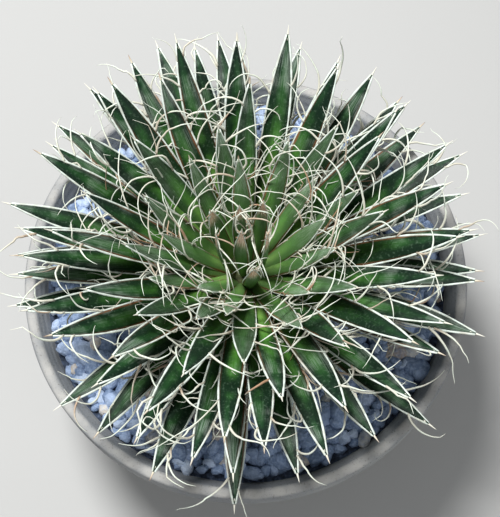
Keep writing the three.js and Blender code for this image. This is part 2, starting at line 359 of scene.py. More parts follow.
# %% [markdown]
# A leaf blade is smooth and waxy, dark green with a light yellow-green foot,
# bluish where it is young, and faintly striped along its length. It has a pale bloom
# towards its tip, and the bud's own tips are frayed to salmon and cream. An image would
# blur up close, so noise stretched along the leaf draws the stripes.

# %% The leaf finish
def leaf_greens(leaf, reach):
    """The painted highlight green for the middle of the blade, and the painted shade green beside it."""
    lit = leaf.ramp(
        reach,
        (0.0, tint(152, 178, 94)),
        (0.28, tint(122, 166, 76)),
        (0.5, tint(72, 124, 44)),
        (0.72, tint(44, 88, 38)),
        (1.0, tint(26, 62, 40)),
    )
    # deep is the painted shade green for the sides of the blade
    deep = leaf.ramp(
        reach,
        (0.0, tint(88, 106, 54)),
        (0.28, tint(58, 92, 38)),
        (0.5, tint(22, 50, 22)),
        (0.72, tint(12, 34, 19)),
        (1.0, tint(11, 30, 21)),
    )
    return lit, deep


def leaf_finish():
    """Wax over a painted highlight green down the middle and a painted shade green at the sides, with
    bloom, frayed bud tips and a brown rim in places.
    """
    leaf = Finish("waxy_leaf", Specular_IOR_Level=0.2)
    along, across = leaf.value("along"), leaf.value("across")
    lot, outward = leaf.value("lot"), leaf.value("outward")
    stretched = leaf.node("CombineXYZ", 0, X=leaf.times(along, 1.6), Y=leaf.times(across, 4.0),
                          Z=leaf.times(lot, 40))
    stripes = leaf.noise(scale=5.0, detail=5, vector=stretched)
    clouds = leaf.noise(scale=38.0)
    specks = leaf.between(leaf.noise(scale=520.0), 0.56, 0.7)
    swing = leaf.minus(stripes, 0.5)
    reach = leaf.plus(along, leaf.times(swing, 0.3))
    lit, deep = leaf_greens(leaf, reach)

    # Painted light: the middle of the blade is painted lighter as a highlight and its sides darker as
    # shade
    off_middle = leaf.size(leaf.plus(across, leaf.times(leaf.minus(lot, 0.5), 0.7)))
    light = leaf.times(leaf.between(off_middle, 0.85, 0.15), leaf.between(clouds, 0.3, 0.55))
    light = leaf.plus(light, leaf.times(swing, 1.3))
    blade = leaf.mix(leaf.between(light, 0.2, 1.2), deep, lit)
    young = leaf.between(outward, 0.26, 0.0)
    blade = leaf.mix(leaf.times(young, 0.42), blade, tint(114, 160, 94))
    blade = leaf.mix(leaf.times(specks, 0.16), blade, tint(128, 156, 130))

    bloom = leaf.times(leaf.between(along, 0.5, 0.9), leaf.between(stripes, 0.47, 0.53))
    powder = leaf.plus(leaf.times(young, 0.34), leaf.times(leaf.between(clouds, 0.5, 0.62), 0.25))
    blade = leaf.mix(leaf.times(bloom, powder), blade, tint(198, 210, 198))
    bud_tip = leaf.times(leaf.between(outward, -0.05, -0.15), leaf.between(reach, 0.72, 0.86))
    frayed = leaf.mix(leaf.between(stripes, 0.44, 0.56), tint(206, 140, 112), tint(242, 228, 208))
    blade = leaf.mix(bud_tip, blade, frayed)
    rim = leaf.between(leaf.plus(leaf.size(across), leaf.times(clouds, 0.4)), 0.95, 1.15)
    rim = leaf.times(rim, leaf.between(leaf.plus(lot, along), 1.3, 0.8))
    blade = leaf.mix(rim, blade, tint(128, 78, 48))

    leaf.colour(blade)
    leaf.roughness(leaf.plus(leaf.times(stripes, 0.3), 0.3))
    leaf.bump(stripes, depth=0.0005, strength=0.5)
    return leaf.material


waxy_leaf = leaf_finish()
print(waxy_leaf.name, "has", len(waxy_leaf.node_tree.nodes), "nodes")

# %% [markdown]
# Leaves, edges, spines and threads are all rings of points skinned one after another.
# Curves with a bevel would make such tubes, but they can't carry a value per point,
# so a helper skins the rings as one closed mesh whose points carry named values,
# and the finish reads those.

# %% Skinning rings
def give(mesh, key, values):
    """A value at every point of the mesh, for its finish to read."""
    layer = mesh.attributes.new(key, "FLOAT", "POINT")
    layer.data.foreach_set("value", np.asarray(values, np.float32).ravel())


def placed(name, mesh, material):
    """The mesh as an object in the scene, smooth and with its finish."""
    mesh.polygons.foreach_set("use_smooth", [True] * len(mesh.polygons))
    mesh.materials.append(material)
    thing = bpy.data.objects.new(name, mesh)
    bpy.context.scene.collection.objects.link(thing)
    return thing


def skin(name, rings, values, material):
    """rings has a place for [copy, ring, point]; values are named arrays that fit that shape."""
    copies, count, sides = rings.shape[:3]
    first = np.arange(copies)[:, None, None] * count * sides
    ring = np.arange(count - 1)[None, :, None] * sides
    side = np.arange(sides)[None, None, :]
    a, b = first + ring + side, first + ring + (side + 1) % sides
    quads = np.stack([a, b, b + sides, a + sides], -1).reshape(-1, 4)
    foot = (first[:, 0] + np.arange(sides)[::-1]).tolist()
    tip = (first[:, 0] + (count - 1) * sides + np.arange(sides)).tolist()
    mesh = bpy.data.meshes.new(name)
    mesh.from_pydata(rings.reshape(-1, 3).tolist(), [], quads.tolist() + foot + tip)
    for key, value in values.items():
        give(mesh, key, np.broadcast_to(value, rings.shape[:3]))
    return placed(name, mesh, material)


def per_copy(values):
    """One value for each copy, shaped for skin."""
    return np.array(values)[:, None, None]


def from_foot_to_tip(count):
    """A value that grows from 0 to 1 along the rings, shaped for skin."""
    return np.linspace(0, 1, count)[None, :, None]


def seat(thing, slot, *nodes):
    """Rides the piece with the pot and hides the solids that it stands for; slot is not used."""
    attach(thing, "root")
    if nodes:
        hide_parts(*nodes)
    thing.data.calc_loop_triangles()
    print(thing.name, len(thing.data.loop_triangles), "triangles")


print("the solids to dress:", ", ".join(sorted(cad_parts)))

# %% [markdown]
# The blade itself is a shallow trough above and a keel below, thick at its foot.
# A flat sheet with a thickness modifier would look like paper, so each ring of points
# has a gentle curve on top and a deeper one underneath.

# %% The leaves
LEAF_RINGS = 34
TOP_POINTS = 9
UNDER_POINTS = 5
IN_SPINE = 0.012
TOP_RISE_MM = (2.4, 0.7)
KEEL_DROP_MM = (7, 0.8)
KEEL_FADE = 0.7
KEEL_ROUND = 1.6
BUD_MARK = -0.2

top = np.linspace(1, -1, TOP_POINTS)
under = np.linspace(-1, 1, UNDER_POINTS + 2)[1:-1]


def leaf_rings(plan):
    t = np.linspace(0, SPINE_START + IN_SPINE, LEAF_RINGS)
    place, along, across, face = leaf_frame(plan, t)
    half = half_width(plan, t)[:, None, None]
    rise = MM * blend(*TOP_RISE_MM, t)
    drop = MM * blend(*KEEL_DROP_MM, np.minimum(1, t / SPINE_START) ** KEEL_FADE)
    upper = place[:, None] + across[:, None] * half * top[:, None]
    upper = upper + face[:, None] * (rise[:, None] * (1 - top**2))[..., None]
    lower = place[:, None] + across[:, None] * half * under[:, None]
    lower = lower - face[:, None] * (drop[:, None] * (1 - np.abs(under) ** KEEL_ROUND))[..., None]
    return np.concatenate([upper, lower], 1)


blades = skin(
    "leaf_blades",
    np.stack([leaf_rings(plan) for plan in leaves]),
    {
        "along": from_foot_to_tip(LEAF_RINGS),
        "across": np.concatenate([top, under])[None, None, :],
        "lot": per_copy([share_drawn(plan["number"], "leaf_lot") for plan in leaves]),
        "outward": per_copy([BUD_MARK if plan["young"] else plan["outward"] for plan in leaves]),
    },
    waxy_leaf,
)
seat(blades, "agave_leaf", "agave_rosette")

# %% [markdown]
# A thin white horny strip runs along both edges of every leaf, and it is what draws
# each leaf against the next. Painting it on the blade would make it fuzzy,
# so it is a real strip, a little thicker than the leaf's edge.

# %% The white edges
EDGE_RINGS = 34
EDGE_SIDES = 6
EDGE_FROM = 0.02
EDGE_IN_SPINE = 0.01
EDGE_SUNK = 0.0001
EDGE_GIRTH_MM, EDGE_FULL_AT = (0.3, 0.85), 0.75
YOUNG_EDGE, OLD_EDGE_AT = 0.6, 0.4
EDGE_FRAY = 0.22
FRAY_STEP = 7.0
EDGE_FLATNESS = 0.8


def horn_finish(name, light, worn, brown, foot):
    """White horn that is worn in patches, tinted at its foot, and brown where it is old."""
    horn = Finish(name, roughness=0.55)
    along = horn.value("along")
    patches = horn.noise(scale=180.0)
    shade = horn.mix(horn.between(patches, 0.42, 0.7), light, worn)
    reach = horn.plus(along, horn.times(patches, 0.3))
    shade = horn.mix(horn.between(reach, 0.58, 0.34), shade, foot)
    age = horn.plus(horn.value("lot"), horn.times(horn.noise(scale=38.0, detail=2), 0.9))
    age = horn.minus(age, horn.times(along, 0.25))
    shade = horn.mix(horn.between(age, 1.2, 1.55), shade, brown)
    horn.colour(shade)
    horn.bump(horn.noise(scale=900.0, detail=2), depth=0.0002, strength=0.4)
    return horn.material


def tube(path, wide, deep, girth, sides, flatness=1.0, way=1):
    """Rings round a path: girth along wide, and flatter along deep; way turns the skin outward."""
    turn = np.linspace(0, way * 2 * math.pi, sides, endpoint=False)
    aside = (girth[..., None] * np.cos(turn))[..., None] * wide[..., None, :]
    above = (flatness * girth[..., None] * np.sin(turn))[..., None] * deep[..., None, :]
    return path[..., None, :] + aside + above


def edge_number(plan, edge):
    return plan["number"] * 2 + edge


def edge_rings(plan, edge):
    t = np.linspace(EDGE_FROM, SPINE_START + EDGE_IN_SPINE, EDGE_RINGS)
    place, along, across, face = leaf_frame(plan, t)
    middle = place + across * (edge * (half_width(plan, t) - EDGE_SUNK))[:, None]
    fray = draw(edge_number(plan, edge) + FRAY_STEP * np.arange(EDGE_RINGS), "fray")
    girth = MM * blend(*EDGE_GIRTH_MM, smooth(t / EDGE_FULL_AT)) * (1 + EDGE_FRAY * fray)
    girth = girth * blend(YOUNG_EDGE, 1, smooth(plan["outward"] / OLD_EDGE_AT))
    return tube(middle, across, face, girth, EDGE_SIDES, EDGE_FLATNESS)


both_edges = [(plan, edge) for plan in leaves for edge in (1, -1)]
white_edge = horn_finish(
    "white_edge",
    light=tint(214, 224, 216),
    worn=tint(186, 190, 176),
    brown=tint(146, 106, 76),
    foot=tint(132, 120, 76),
)
edges = skin(
    "leaf_edges",
    np.stack([edge_rings(plan, edge) for plan, edge in both_edges]),
    {
        "lot": per_copy([share_drawn(edge_number(plan, edge), "edge_lot") for plan, edge in both_edges]),
        "along": from_foot_to_tip(EDGE_RINGS),
    },
    white_edge,
)
seat(edges, "agave_leaf")

# %% [markdown]
# Each leaf ends in a hard spine, whitish grey at its foot and brown at the point.
# A cone set on the tip would show its base, so the spine is one tapered body
# that starts inside the blade, and no seam shows.

# %% The end spines
SPINE_RINGS = 9
SPINE_SIDES = 8
SPINE_GIRTH_MM = (1.15, 0.12)
SPINE_TAPER = 1.3
SPINE_FLATNESS = 0.75


def spine_rings(plan):
    place, along, across, face = leaf_frame(plan, np.linspace(SPINE_START - IN_SPINE, 1, SPINE_RINGS))
    girth = MM * blend(*SPINE_GIRTH_MM, np.linspace(0, 1, SPINE_RINGS) ** SPINE_TAPER)
    return tube(place, across, face, girth, SPINE_SIDES, SPINE_FLATNESS)


def spine_finish():
    spine = Finish("end_spine")
    shade = spine.ramp(
        spine.value("along"),
        (0.0, tint(196, 200, 182)),
        (0.5, tint(204, 194, 172)),
        (0.85, tint(176, 152, 128)),
        (1.0, tint(112, 88, 74)),
    )
    spine.colour(spine.mix(spine.between(spine.value("lot"), 0.1, 0.35), shade, tint(214, 212, 198)))
    return spine.material


spines = skin(
    "end_spines",
    np.stack([spine_rings(plan) for plan in leaves]),
    {
        "along": from_foot_to_tip(SPINE_RINGS),
        "lot": per_copy([share_drawn(plan["number"], "spine_lot") for plan in leaves]),
    },
    spine_finish(),
)
seat(spines, "agave_leaf")

# %% [markdown]
# The edges split off in threads that curl away as they dry. They are what makes this
# species: white loops over everything. Hair would be quick but doesn't leave the
# program as a surface, so each thread is a thin tapered tube on a bent path.
# The solid's own two threads come first, with its numbers. Then each age of leaf has its
# kinds: frayed tips in the bud, long loops round it, and tight curls on the old leaves.

# %% The kinds of thread
SOLID_THREADS = 2
MOST_THREADS = 13
ROUND_THE_BUD = 0.15
HALF_WAY_OUT = 0.5
BUD_LOOP_HIGHER = 0.2
BUD_LOOP_SHORTER = 0.7

# Where each kind's numbers start; the three kinds of frayed tip share theirs
FIRST_NUMBER = {
    "solid": 0, "loose": 1000, "peel": 5000, "brush": 7000, "whisker": 7000, "tuft": 7000, "curl": 9000,
    "loop": 11000,
}

# The middle and the stray of each measure, and last how tan the kind is. A thread's place is
# a share of its leaf, its girth is the radius at its root in mm, and its turn and fork are angles.
MEASURES = ("place", "length", "girth", "turn", "fork")
KINDS = {
    "solid": ((0.66, 0.22), (0.042, 0.0105), (0.95, 0.0), (1.8, 1.0), (0.55, 0.25), 0.0),
    "peel": ((0.38, 0.18), (0.050, 0.020), (0.75, 0.2), (0.7, 0.0), (0.14, 0.12), 0.4),
    "tuft": ((0.88, 0.07), (0.021, 0.0126), (0.6, 0.15), (0.9, 0.9), (0.6, 0.6), 0.0),
    "brush": ((0.88, 0.07), (0.0076, 0.0046), (0.82, 0.2), (0.9, 0.9), (0.3, 0.3), 0.55),
    "whisker": ((0.88, 0.07), (0.0126, 0.0076), (0.48, 0.12), (1.8, 1.8), (1.5, 0.5), 0.2),
    "loop": ((0.52, 0.26), (0.060, 0.024), (0.64, 0.16), (2.2, 1.2), (0.6, 0.35), 0.0),
    "curl": ((0.58, 0.22), (0.034, 0.0136), (0.84, 0.18), (3.6, 1.6), (0.5, 0.35), 0.0),
}


def kinds_on(plan):
    """The kinds of one leaf's threads, the solid's own first."""
    if plan["young"]:
        return ["whisker", "brush"] * 3 + ["loop"] * 3
    always = ["solid"] * SOLID_THREADS + ["peel"]
    if plan["outward"] < ROUND_THE_BUD:
        return always + ["tuft"] * 2 + ["loose"] * 2 + ["loop"] * 3
    if plan["outward"] < HALF_WAY_OUT:
        return always + ["loose"] * 3 + ["loop"]
    return always + ["loose"] * 5 + ["curl"] * 2


def table_form(kind, plan, number):
    """Place, length, girth, turn, fork and tan of a thread of a kind in the table."""
    *pairs, tan = KINDS[kind]
    form = [middle + stray * draw(number, what) for (middle, stray), what in zip(pairs, MEASURES)]
    if plan["young"] and kind == "loop":
        form[0] += BUD_LOOP_HIGHER
        form[1] *= BUD_LOOP_SHORTER
    return *form, tan


print(sum(len(kinds_on(plan)) for plan in leaves), "threads of", len(FIRST_NUMBER), "kinds")

# %% [markdown]
# The loose threads are the commonest, and they change with the age of their leaf:
# long, thin arcs near the bud, and shorter, thicker and tighter ones further out.
# One row of the table can't say that, so they have a formula. Each pair below is for
# the youngest and the oldest leaf, and a longer thread is also a thicker one.

# %% The loose threads
LOOSE_PLACE, LOOSE_PLACE_STRAY = 0.56, 0.36
LOOSE_SHORTEST = 0.026
LOOSE_MORE = (0.056, 0.038)
LOOSE_MORE_POWER = 1.3
LONGER_AT_FOOT = (1.1, 0.75)
LOOSE_GIRTH = (0.5, 0.6)
LOOSE_GIRTH_STRAY = 0.16
LOOSE_GIRTH_MORE = (0.25, 0.64)
BEND_RADIUS = (0.080, 0.027)
BEND_STRAY = 0.8
LOOSE_FORK, LOOSE_FORK_STRAY = 0.24, 0.22
LOOSE_OLD_AT = 0.7


def loose_form(plan, number):
    """Place, length, girth, turn, fork and tan of a loose thread."""
    place = LOOSE_PLACE + LOOSE_PLACE_STRAY * draw(number, "place")
    span = share_drawn(number, "length")
    outer = smooth(plan["outward"] / LOOSE_OLD_AT)
    length = LOOSE_SHORTEST + blend(*LOOSE_MORE, outer) * span**LOOSE_MORE_POWER
    length = length * blend(*LONGER_AT_FOOT, place)
    girth = blend(*LOOSE_GIRTH, outer) + LOOSE_GIRTH_STRAY * draw(number, "girth")
    girth = girth + blend(*LOOSE_GIRTH_MORE, outer) * span**2
    turn = length / blend(*BEND_RADIUS, outer) * (1 + BEND_STRAY * draw(number, "turn"))
    return place, length, girth, turn, LOOSE_FORK + LOOSE_FORK_STRAY * draw(number, "fork"), 0.0


print("loose threads bend round a radius of", [round(radius / MM) for radius in BEND_RADIUS], "mm")

# %% [markdown]
# A thread leaves its leaf's edge a little forward, outward and up, and curls about an axis
# near the leaf's own face. Roots could be picked on the mesh, but the three directions of
# the leaf give the exact place, so the root is sunk in the edge and never hangs free.

# %% Where each thread starts
ROOT_SUNK = 0.0006
LIFT = 0.2
CURLS_BACK_BELOW = -0.4
AXIS_ACROSS = 0.8
AXIS_ALONG = 0.5
YOUNG_TAN = 0.08


def thread_plan(plan, index, kind):
    """Where a thread starts, where it heads, and how it curls."""
    rank = SOLID_THREADS if kind == "solid" else MOST_THREADS
    number = FIRST_NUMBER[kind] + plan["number"] * rank + index
    form = loose_form(plan, number) if kind == "loose" else table_form(kind, plan, number)
    t, length, girth, turn, fork, tan = form
    side = index - 0.5 if kind == "solid" else draw(number, "which_edge")
    edge = 1 if side > 0 else -1
    place, along, across, face = (v[0] for v in leaf_frame(plan, [t]))
    heading = unit(along * math.cos(fork) + across * edge * math.sin(fork) + face * LIFT)
    axis = face * edge * (1 if draw(number, "curls_back") > CURLS_BACK_BELOW else -1)
    axis = axis + across * AXIS_ACROSS * draw(number, "axis_across")
    axis = axis + along * AXIS_ALONG * draw(number, "axis_along")
    return {
        "kind": kind,
        "number": float(number),
        "root": place + across * edge * (float(half_width(plan, t)) - ROOT_SUNK),
        "heading": heading,
        "axis": unit(axis - heading * (axis @ heading)),
        "turn": turn,
        "length": length,
        "girth": girth,
        "tan": tan + share_drawn(number, "tan") + YOUNG_TAN * (1 - plan["outward"]) ** 2,
    }


thread_plans = [
    thread_plan(plan, index, kind) for plan in leaves for index, kind in enumerate(kinds_on(plan))
]
thickest = max(2 * plan["girth"] for plan in thread_plans)
print(len(thread_plans), "threads, the thickest", round(thickest, 1), "mm at its root")

# %% [markdown]
# A path heads forward and turns a little at every step. A smooth curve would look like
# wire: a dry thread turns evenly for a stretch and then kinks, so a step may add a sudden
# turn. The threads that would rise above the solid's top are held down, each at its own
# height. All of them take each step together, as rows of one array, which is quick.

# %% The paths of the threads
THREAD_STEPS = 16
THREAD_SIDES = 5
THREAD_FLOOR = 0.174
STEADY_DRYNESS = 0.3
DRYNESS, DRYNESS_STRAY = 0.65, 0.35
SWERVE = -1.3
SWERVES_ABOVE = 0.1
LATE_FROM, LATE_STRAY = 0.5, 0.3
KINK, KINK_RARITY = 1.5, 9
TWIST, TWIST_RARITY = 0.4, 3
STEP_NUMBERS = 17
ROOM_ABOVE_ROOT = 0.001
CEILING_STRAY = 0.008
HELD_DOWN = 0.75
FINE_END, TAPER = 0.14, 1.6


def thread_rings(plans):
    """The rings of many threads, which all take their steps together."""
    def of_all(key):
        return np.array([plan[key] for plan in plans])

    heading, axis, turn, length, number = (
        of_all(key) for key in ("heading", "axis", "turn", "length", "number")
    )
    path, ways = [of_all("root")], []
    steady = np.isin(of_all("kind"), ("solid", "loop"))
    dryness = np.where(steady, STEADY_DRYNESS, DRYNESS + DRYNESS_STRAY * draw(number, "dryness"))
    swerves = ~steady & (of_all("kind") != "curl") & (draw(number, "swerve") > SWERVES_ABOVE)
    swerve = np.where(swerves, SWERVE, 1)
    lowered = rosette_high[2] - CEILING_STRAY * (1 + draw(number, "ceiling"))
    ceiling = np.maximum(path[0][:, 2] + ROOM_ABOVE_ROOT, lowered)
    for step in range(THREAD_STEPS):
        ways.append(heading)
        after = path[-1] + heading * (length / THREAD_STEPS)[:, None]
        over = np.maximum(after[:, 2] - ceiling, 0)
        after[:, 2] = np.maximum(after[:, 2] - HELD_DOWN * over, THREAD_FLOOR)
        path.append(after)
        late = step > (LATE_FROM + LATE_STRAY * draw(number, "lateness")) * THREAD_STEPS
        turning = turn / THREAD_STEPS * np.where(late, swerve, 1)
        kink = KINK * dryness * draw(number * STEP_NUMBERS + step, "kink") ** KINK_RARITY
        twist = TWIST * dryness * draw(number * STEP_NUMBERS + step, "twist") ** TWIST_RARITY
        heading = turned_about(heading, axis, turning + kink)
        heading = turned_about(heading, unit(np.cross(axis, heading)), twist)
    ways.append(heading)
    path, ways = np.stack(path, 1), np.stack(ways, 1)
    taper = blend(1.0, FINE_END, np.linspace(0, 1, THREAD_STEPS + 1) ** TAPER)
    girth = MM * of_all("girth")[:, None] * taper[None]
    wide = unit(np.cross(ways, axis[:, None]))
    return tube(path, wide, axis[:, None], girth, THREAD_SIDES, way=-1)


print("each thread has", THREAD_STEPS, "steps and", THREAD_SIDES, "sides")

# %% [markdown]
# The threads are the same horn as the edges, only whiter at the root.
# One piece could hold them all, but it would be the heaviest of the whole pot,
# so every second thread goes to a piece of its own.

# %% The threads
thread_horn = horn_finish(
    "thread",
    light=tint(214, 222, 208),
    worn=tint(204, 201, 186),
    brown=tint(160, 126, 98),
    foot=tint(208, 206, 190),
)
for part, chosen in (("near", thread_plans[::2]), ("far", thread_plans[1::2])):
    threads = skin(
        "threads_" + part,
        thread_rings(chosen),
        {
            "lot": per_copy([plan["tan"] for plan in chosen]),
            "along": from_foot_to_tip(THREAD_STEPS + 1),
        },
        thread_horn,
    )
    seat(threads, "agave_leaf")

# %% [markdown]
# Between the lowest leaves the short stem shows: a rough brown-green dome on a neck.
# A ball would do as well, but the neck carries it down into the soil as the real one does,
# so it is turned from a profile. A turned body ends in a tiny circle, not in a point.

# %% The crown of the stem
NECK_RADIUS = 0.020
NECK_FROM = 0.100
NECK_TO = 0.161
DOME_RADIUS = 0.025
DOME_HEIGHT = 0.027
DOME_TINY_CIRCLE = 0.0004


def turned_body(name, profile, sides, material):
    """A closed body turned about the pot's axis from (radius, height) pairs."""
    angles = np.linspace(0, 2 * math.pi, sides, endpoint=False)
    spin = np.stack([np.cos(angles), np.sin(angles)], -1)
    rings = np.array([[(r * x, r * y, z) for x, y in spin] for r, z in profile])
    return skin(name, rings[None], {}, material)


def stem_finish():
    stem = Finish("stem", roughness=0.8)
    rough = stem.noise(scale=220.0, detail=4)
    stem.colour(stem.ramp(rough, (0.3, tint(46, 42, 28)), (0.7, tint(96, 104, 60))))
    stem.bump(rough, depth=0.001, strength=0.8)
    return stem.material


dome = [
    (DOME_RADIUS * math.cos(angle), CROWN[2] + DOME_HEIGHT * math.sin(angle))
    for angle in np.linspace(0, 1.5, 9)
]
neck = [(NECK_RADIUS, NECK_FROM), (NECK_RADIUS, NECK_TO)]
stem_profile = [*neck, *dome, (DOME_TINY_CIRCLE, CROWN[2] + DOME_HEIGHT)]
stem = turned_body("stem", stem_profile, sides=48, material=stem_finish())
seat(stem, "agave_leaf")

# %% [markdown]
# The gravel is crushed stone: every stone has flat faces with soft corners.
# A ball cut back by a dozen planes gives that form. A hard cut makes sharp crystals,
# so the planes are blended with a high power, which rounds each corner a little.

# %% A bag of stones
STONE_PLANES = 12
PLANE_NUMBERS = 31.0
PLANE_REACH, PLANE_REACH_STRAY = 0.84, 0.16
STONE_SHARPNESS = 36.0
LEAST_FACING = 1e-3
FURTHEST_CORNER = 1.25
STONE_AXES = np.array([1, 0.82, 0.68])
STONE_TILT = 0.5


def ball(levels):
    """The points and faces of an even ball."""
    shape = bmesh.new()
    bmesh.ops.create_icosphere(shape, subdivisions=levels, radius=1)
    points = np.array([v.co for v in shape.verts])
    faces = np.array([[v.index for v in f.verts] for f in shape.faces])
    shape.free()
    return points, faces


def cut_stones(points, sizes, numbers):
    """The points of a ball cut back to each stone's own planes, sized, tilted and turned."""
    key = numbers[:, None] * PLANE_NUMBERS + np.arange(STONE_PLANES)
    planes = [draw(key, "facet_x"), draw(key, "facet_y"), draw(key, "facet_z")]
    normals = unit(np.stack(planes, -1) + 1e-6)
    reach = PLANE_REACH + PLANE_REACH_STRAY * draw(key, "facet_reach")
    facing = np.maximum(np.einsum("vx,spx->svp", points, normals) / reach[:, None], 0)
    facing = np.maximum((facing**STONE_SHARPNESS).sum(-1), LEAST_FACING)
    radius = np.minimum(facing ** (-1 / STONE_SHARPNESS), FURTHEST_CORNER)
    body = points * radius[..., None] * (sizes[:, None] * STONE_AXES)[:, None]
    tilt = STONE_TILT * draw(numbers, "stone_tilt")
    turn = math.pi * draw(numbers, "stone_turn")
    for axis, angle in (((1.0, 0, 0), tilt), ((0, 0, 1.0), turn)):
        body = turned_about(body, np.array(axis), np.repeat(angle[:, None], len(points), 1))
    return body


def stones(name, places, sizes, numbers, levels, material):
    """Stones at the given places, each with its share of the colour."""
    points, faces = ball(levels)
    body = cut_stones(points, sizes, numbers) + places[:, None]
    every = faces[None] + np.arange(len(places))[:, None, None] * len(points)
    mesh = bpy.data.meshes.new(name)
    mesh.from_pydata(body.reshape(-1, 3).tolist(), [], every.reshape(-1, 3).tolist())
    give(mesh, "lot", np.repeat(share_drawn(numbers, "stone_lot"), len(points)))
    return placed(name, mesh, material)


print("a stone is a ball cut by", STONE_PLANES, "planes")

# %% [markdown]
# The stones are blue-grey, each in its own tone, with a few pale and a few tan ones,
# a light dust in the fine grain and darker patches. One colour for all would read as
# plastic, and an image would repeat, so each stone's share of the colour picks its tone.

# %% The stone finishes
def stone_finish():
    rock = Finish("blue_grey_stone", roughness=0.78)
    body = rock.ramp(
        rock.value("lot"),
        (0.0, tint(94, 115, 146)),
        (0.3, tint(128, 150, 184)),
        (0.6, tint(154, 174, 206)),
        (0.9, tint(192, 208, 230)),
        (0.94, tint(216, 212, 200)),
        (1.0, tint(178, 160, 138)),
    )
    grain = rock.noise(scale=420.0, detail=5)
    patches = rock.noise(scale=90.0, detail=4)
    dusty = rock.times(rock.between(grain, 0.4, 0.62), 0.4)
    body = rock.mix(dusty, body, tint(176, 194, 222))
    dark = rock.times(rock.between(patches, 0.5, 0.68), 0.6)
    body = rock.mix(dark, body, tint(76, 99, 132))
    rock.colour(body)
    rock.bump(rock.plus(grain, patches), depth=0.002, strength=0.9)
    return rock.material


# The grit is painted dark as the shade in the gaps between the stones
def shaded_grit_finish():
    grit = Finish("shaded_grit", roughness=0.9)
    grains = grit.noise(scale=300.0, detail=4)
    shade = grit.ramp(
        grains,
        (0.35, tint(38, 46, 60)),
        (0.6, tint(74, 88, 112)),
        (0.75, tint(112, 128, 156)),
    )
    grit.colour(shade)
    grit.bump(grains, depth=0.001, strength=0.6)
    return grit.material


rock_material = stone_finish()
shaded_grit_material = shaded_grit_finish()
print(rock_material.name, "and", shaded_grit_material.name)

# %% [markdown]
# The stones cover the soil in two loose layers, with a row of chips along the wall.
# A physics run would heap them truly, but a spiral with jitter fills a round pot evenly
# and never moves a stone into the stem. Grit under them closes the last gaps, painted dark as the shade
# between the stones.

# %% The gravel
GRAVEL_TOP = 0.1503
INNER_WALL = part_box("gravel_top_dressing")[1][0]
SPIRAL_START = 0.3
STONE_COUNT, STONE_SIZE, STONE_SIZE_STRAY = 400, 0.0101, 0.24
CHIP_COUNT, CHIP_SIZE, CHIP_SIZE_STRAY = 620, 0.0058, 0.3
WALL_CHIP_COUNT = 150
STONES_AT = GRAVEL_TOP - 0.0006
CHIPS_AT = GRAVEL_TOP + 0.001
HEIGHT_STRAY = 0.003
BED_BOTTOM = 0.1425
BED_TOP = GRAVEL_TOP - 0.003
STEM_HOLE = 0.0205


def scattered(count, first, inner, outer, wander):
    """Numbers and places on a spiral between two radii, each place moved a little."""
    numbers = np.arange(count) + first
    radius = np.sqrt(blend(inner**2, outer**2, (np.arange(count) + 0.5) / count))
    angle = np.arange(count) * GOLDEN_ANGLE + SPIRAL_START
    places = np.stack([radius * np.cos(angle), radius * np.sin(angle), 0 * radius], -1)
    places[:, 0] += wander * draw(numbers, "wander_x")
    places[:, 1] += wander * draw(numbers, "wander_y")
    reach = np.hypot(places[:, 0], places[:, 1])
    places[:, :2] *= np.minimum(1, outer / reach)[:, None]
    return numbers.astype(float), places


numbers, places = scattered(
    STONE_COUNT, first=0, inner=0.034, outer=INNER_WALL - 0.011, wander=0.004
)
sizes = STONE_SIZE * (1 + STONE_SIZE_STRAY * draw(numbers, "stone_size"))
places[:, 2] = STONES_AT + HEIGHT_STRAY * draw(numbers, "stone_height")
large = stones("gravel_stones", places, sizes, numbers, levels=3, material=rock_material)
seat(large, "gravel", "gravel_top_dressing")

among = scattered(CHIP_COUNT, first=5000, inner=0.028, outer=INNER_WALL - 0.006, wander=0.004)
by_wall = scattered(
    WALL_CHIP_COUNT, first=9000, inner=INNER_WALL - 0.014, outer=INNER_WALL - 0.005, wander=0.002
)
numbers = np.concatenate([among[0], by_wall[0]])
places = np.concatenate([among[1], by_wall[1]])
sizes = CHIP_SIZE * (1 + CHIP_SIZE_STRAY * draw(numbers, "stone_size"))
places[:, 2] = CHIPS_AT + HEIGHT_STRAY * draw(numbers, "stone_height")
small = stones("gravel_chips", places, sizes, numbers, levels=2, material=rock_material)
seat(small, "gravel")

bed_profile = [
    (STEM_HOLE, BED_BOTTOM),
    (INNER_WALL - 0.002, BED_BOTTOM),
    (INNER_WALL - 0.0005, BED_TOP),
    (STEM_HOLE, BED_TOP),
]
bed = turned_body("gravel_bed", bed_profile, sides=96, material=shaded_grit_material)
seat(bed, "gravel")

# %% [markdown]
# The soil only shows through the drain holes. A finer body would be wasted there,
# so its solid stays and gets a crumbly finish.

# %% The soil
def soil_finish():
    soil = Finish("potting_soil", roughness=0.95)
    crumbs = soil.noise(scale=260.0, detail=6)
    shade = soil.ramp(
        crumbs,
        (0.35, tint(34, 26, 20)),
        (0.6, tint(66, 50, 38)),
        (0.75, tint(112, 92, 70)),
    )
    soil.colour(shade)
    soil.bump(crumbs, depth=0.002, strength=1.0)
    return soil.material


potting_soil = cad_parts["potting_soil"]
potting_soil.data.materials.clear()
potting_soil.data.materials.append(soil_finish())

# %% [markdown]
# The pot is plain unglazed grey stoneware, turned on a wheel. A bevel on the solid's
# edges would miss the throwing rings and wear of the clay, so the profile is drawn
# once with real roundings, turned, and given a finish of its own.

# %% The pot's finish
pot_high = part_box("pot")[1]
RIM_RADIUS, POT_HEIGHT = pot_high.x, pot_high.z


